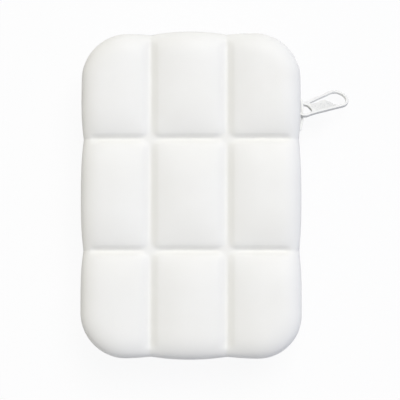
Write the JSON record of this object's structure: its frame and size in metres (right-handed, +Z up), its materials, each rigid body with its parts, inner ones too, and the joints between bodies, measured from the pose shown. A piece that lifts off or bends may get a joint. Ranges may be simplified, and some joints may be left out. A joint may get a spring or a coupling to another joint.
{
  "type": "silicone coin purse",
  "caption": "Puffy rounded silicone purse pressed into tiles on both faces, with a zip along one long side, its slider and a teardrop puller",
  "frame": {"origin": "middle of the rear rest face, which lies on the table at z = 0", "axes": "+Y along the zip towards the end where the closed slider parks, +X out of the zipped side, +Z up through the thickness, from the rear face to the front face"},
  "size_m": [0.099, 0.12, 0.03],
  "materials": {
    "silicone": "matte",
    "zip_tape": "matte",
    "zip_teeth": "satin",
    "zip_metal": "satin"
  },
  "bodies": {
    "rear_half": {"rear_shell": "silicone", "zip_tape_rear": "zip_tape", "zip_teeth_rear": "zip_teeth", "top_stop_rear": "zip_metal", "bottom_stop": "zip_metal"},
    "front_half": {"front_shell": "silicone", "zip_tape_front": "zip_tape", "zip_teeth_front": "zip_teeth", "top_stop_front": "zip_metal"},
    "slider": {"slider_body": "zip_metal", "slider_crown": "zip_metal"},
    "puller": {"pull_tab": "zip_metal"}
  },
  "joints": [
    {"name": "mouth_open", "type": "hinge", "parent": "rear_half", "child": "front_half", "pos_m": [-0.0383, 0, 0.015], "axis": [0, -1, 0], "range_deg": [0, 12], "deforming": ["zip_tape_front", "zip_teeth_front"]},
    {"name": "slider_travel", "type": "slide", "parent": "rear_half", "child": "slider", "axis": [0, -1, 0], "range_m": [0, 0.059], "deforming": ["zip_teeth_rear"]},
    {"name": "puller_swing", "type": "hinge", "parent": "slider", "child": "puller", "pos_m": [0.04088, 0.0314, 0.015], "axis": [0, 0, 1], "range_deg": [-24, 40]}
  ],
  "couplings": [
    {"joint": "slider_travel", "follows": "mouth_open", "m_per_rad": 0.281}
  ]
}
